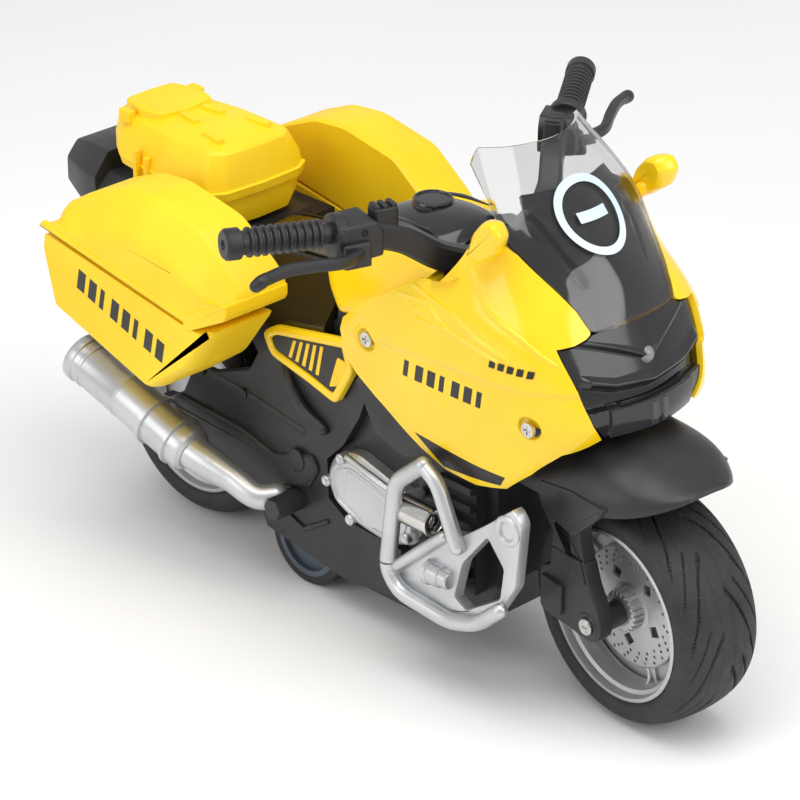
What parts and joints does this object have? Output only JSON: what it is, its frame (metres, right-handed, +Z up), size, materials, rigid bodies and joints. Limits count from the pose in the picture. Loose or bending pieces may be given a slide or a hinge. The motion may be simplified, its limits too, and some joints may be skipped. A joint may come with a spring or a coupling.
{
  "type": "toy motorcycle",
  "caption": "Battery-driven toy touring motorcycle with fairing, screen, luggage cases, steerable fork, turning handlebar and geared drive wheels under the belly.",
  "frame": {"origin": "on the ground, on the centre plane, midway between the front and rear axles", "axes": "+X forward along the machine, +Y to the rider's left, +Z up"},
  "size_m": [0.2329, 0.1448, 0.1417],
  "materials": {
    "black_gloss": "glossy black ABS",
    "black_satin": "satin black ABS",
    "board_green": "glass-epoxy board",
    "brass": "machined brass",
    "bright_plating": "vacuum-plated ABS",
    "cell_wrap": "shrink wrap",
    "clear": "clear polycarbonate",
    "gear_plastic": "white acetal",
    "grey_plastic": "blue-grey ABS",
    "lamp_red": "translucent red plastic",
    "led_clear": "clear epoxy",
    "silver_paint": "silver paint on ABS",
    "smoked_clear": "smoked clear polycarbonate",
    "steel": "zinc-plated steel",
    "tyre_rubber": "soft black PVC",
    "yellow_gloss": "glossy yellow ABS",
    "yellow_satin": "satin yellow ABS"
  },
  "bodies": {
    "body": {"battery_pack": "cell_wrap", "belly_cover": "black_satin", "body_screws": "steel", "chassis_left": "black_satin", "chassis_right": "black_satin", "circuit_board": "board_green", "crash_bar_left": "silver_paint", "crash_bar_right": "silver_paint", "drive_motors": "steel", "engine_cover_left": "silver_paint", "engine_cover_right": "silver_paint", "exhaust_left": "silver_paint", "exhaust_right": "silver_paint", "fairing_left": "yellow_gloss", "fairing_right": "yellow_gloss", "fairing_screws": "steel", "headlight_led": "led_clear", "lamp_lens": "clear", "nose_lower": "black_gloss", "nose_upper": "black_gloss", "pannier_body_left": "yellow_satin", "pannier_body_right": "yellow_satin", "pannier_lid_left": "yellow_satin", "pannier_lid_right": "yellow_satin", "rear_axle": "steel", "seat_cover": "black_gloss", "side_panel_left": "yellow_gloss", "side_panel_right": "yellow_gloss", "tail_lens": "lamp_red", "tail_unit": "black_satin", "tank_cover": "black_gloss", "tank_surround": "yellow_gloss", "top_case_body": "yellow_satin", "top_case_lid": "yellow_satin", "windshield": "smoked_clear"},
    "fork": {"fork_leg_left": "black_satin", "fork_leg_right": "black_satin", "front_axle": "steel", "front_mudguard": "black_satin", "steering_stem": "black_satin", "stem_cap": "steel"},
    "front_wheel": {"front_tyre": "tyre_rubber", "front_rim": "bright_plating", "front_discs": "bright_plating"},
    "rear_wheel": {"rear_tyre": "tyre_rubber", "rear_rim": "bright_plating"},
    "drive_wheel_right": {"drive_wheel_right": "grey_plastic", "drive_tyre_right": "tyre_rubber", "drive_gear_right": "gear_plastic"},
    "drive_wheel_left": {"drive_wheel_left": "grey_plastic", "drive_tyre_left": "tyre_rubber", "drive_gear_left": "gear_plastic"},
    "pinion_right": {"pinion_right": "brass"},
    "pinion_left": {"pinion_left": "brass"},
    "handlebar": {"handlebar_yoke": "black_satin", "grip_right": "black_satin", "grip_left": "black_satin", "bar_controls_right": "black_satin", "bar_controls_left": "black_satin"},
    "switch": {"switch_slider": "black_satin"}
  },
  "joints": [
    {"name": "steering", "type": "hinge", "parent": "body", "child": "fork", "pos_m": [0.077, 0, 0.03], "axis": [-0.342, 0, 0.9397], "range_deg": [-3.6, 16.4]},
    {"name": "front_wheel_spin", "type": "hinge", "parent": "fork", "child": "front_wheel", "pos_m": [0.077, 0, 0.03], "axis": [0.1047, 0.9938, 0.0381], "continuous": true},
    {"name": "rear_wheel_spin", "type": "hinge", "parent": "body", "child": "rear_wheel", "pos_m": [-0.077, 0, 0.03], "axis": [0, 1, 0], "continuous": true},
    {"name": "drive_right_spin", "type": "hinge", "parent": "body", "child": "drive_wheel_right", "pos_m": [-0.027, 0, 0.013], "axis": [0, 1, 0], "continuous": true},
    {"name": "pinion_right_spin", "type": "hinge", "parent": "body", "child": "pinion_right", "pos_m": [-0.02094, 0, 0.01916], "axis": [0, 1, 0], "continuous": true},
    {"name": "drive_left_spin", "type": "hinge", "parent": "body", "child": "drive_wheel_left", "pos_m": [-0.027, 0, 0.013], "axis": [0, 1, 0], "continuous": true},
    {"name": "pinion_left_spin", "type": "hinge", "parent": "body", "child": "pinion_left", "pos_m": [-0.03306, 0, 0.01916], "axis": [0, 1, 0], "continuous": true},
    {"name": "handlebar_turn", "type": "hinge", "parent": "body", "child": "handlebar", "pos_m": [0.028, 0, 0.105], "axis": [0, 0, 1], "range_deg": [-19.8, 4.2]},
    {"name": "power_switch", "type": "slide", "parent": "body", "child": "switch", "axis": [1, 0, 0], "range_m": [0, 0.003]}
  ],
  "couplings": [
    {"joint": "pinion_right_spin", "follows": "drive_right_spin", "ratio": -2.4},
    {"joint": "pinion_left_spin", "follows": "drive_left_spin", "ratio": -2.4}
  ]
}
